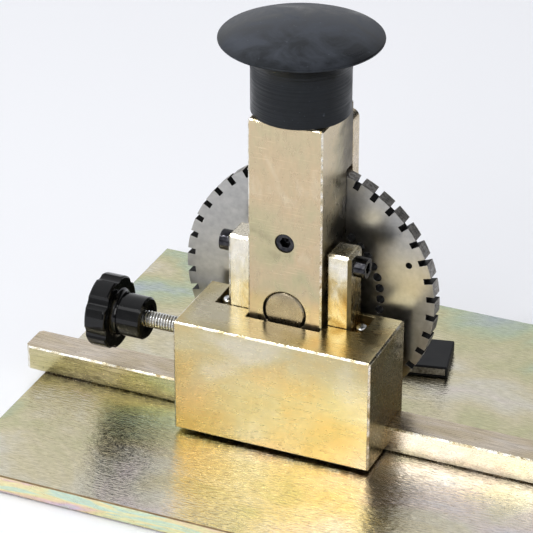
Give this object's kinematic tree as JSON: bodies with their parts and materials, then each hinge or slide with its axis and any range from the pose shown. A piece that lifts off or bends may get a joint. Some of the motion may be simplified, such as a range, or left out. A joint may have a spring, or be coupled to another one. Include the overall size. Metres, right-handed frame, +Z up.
{
  "type": "manual tag embossing machine",
  "caption": "Hand-pressed tag embosser: a type wheel turns in a sprung column with a strike cap, on a carriage that slides along a bar on a base plate.",
  "frame": {"origin": "middle of the base plate's underside", "axes": "+X along the guide bar, +Y towards the side where the tag is laid, +Z up"},
  "size_m": [0.317, 0.2, 0.1834],
  "materials": {
    "yellow_zinc": "satin",
    "wheel_steel": "satin",
    "black_oxide": "satin",
    "bright_zinc": "gloss",
    "spring_steel": "satin",
    "brass": "satin",
    "cap_rubber": "satin",
    "knob_plastic": "gloss",
    "sleeve_plastic": "matte"
  },
  "bodies": {
    "base": {"base_plate": "yellow_zinc", "guide_bar": "yellow_zinc", "bar_screws": "black_oxide"},
    "carriage": {"carriage_block": "yellow_zinc", "guide_screws": "bright_zinc", "return_spring_left": "spring_steel", "return_spring_right": "spring_steel"},
    "plunger": {"column": "yellow_zinc", "wheel_cover": "yellow_zinc", "cover_screws": "black_oxide", "left_lug": "yellow_zinc", "right_lug": "yellow_zinc", "lug_screws": "black_oxide", "strike_cap": "cap_rubber", "cap_stud": "bright_zinc", "detent_screw": "black_oxide", "detent_spring": "spring_steel"},
    "wheel": {"type_wheel": "wheel_steel", "wheel_axle": "yellow_zinc"},
    "detent": {"detent_ball": "bright_zinc"},
    "lock_carrier": {"lock_pad": "brass"},
    "lock": {"lock_stud": "bright_zinc", "lock_knob": "knob_plastic"},
    "magnet": {"magnet_sleeve": "sleeve_plastic", "magnet_core": "spring_steel"}
  },
  "joints": [
    {"name": "carriage_slide", "type": "slide", "parent": "base", "child": "carriage", "axis": [1, 0, 0], "range_m": [-0.07, 0.14]},
    {"name": "plunger_press", "type": "slide", "parent": "carriage", "child": "plunger", "axis": [0, 0, -1], "range_m": [0, 0.001], "stiffness_N_per_m": 6000, "springref_m": -0.006, "deforming": ["return_spring_left", "return_spring_right"]},
    {"name": "wheel_turn", "type": "hinge", "parent": "plunger", "child": "wheel", "pos_m": [-0.0384, 0.0045, 0.0636], "axis": [0, 1, 0], "continuous": true},
    {"name": "detent_push", "type": "slide", "parent": "plunger", "child": "detent", "axis": [0, 1, 0], "range_m": [0, 0.00077], "stiffness_N_per_m": 2000, "springref_m": 0.003, "deforming": ["detent_spring"]},
    {"name": "lock_feed", "type": "slide", "parent": "carriage", "child": "lock_carrier", "axis": [1, 0, 0], "range_m": [-0.002, 0.0003]},
    {"name": "lock_turn", "type": "hinge", "parent": "lock_carrier", "child": "lock", "pos_m": [-0.1, -0.0168, 0.0424], "axis": [1, 0, 0], "range_deg": [-577, 87]},
    {"name": "magnet_slide", "type": "slide", "parent": "base", "child": "magnet", "axis": [1, 0, 0], "range_m": [-0.05, 0.05]}
  ],
  "couplings": [
    {"joint": "lock_turn", "follows": "lock_feed", "rad_per_m": 5026.5}
  ]
}
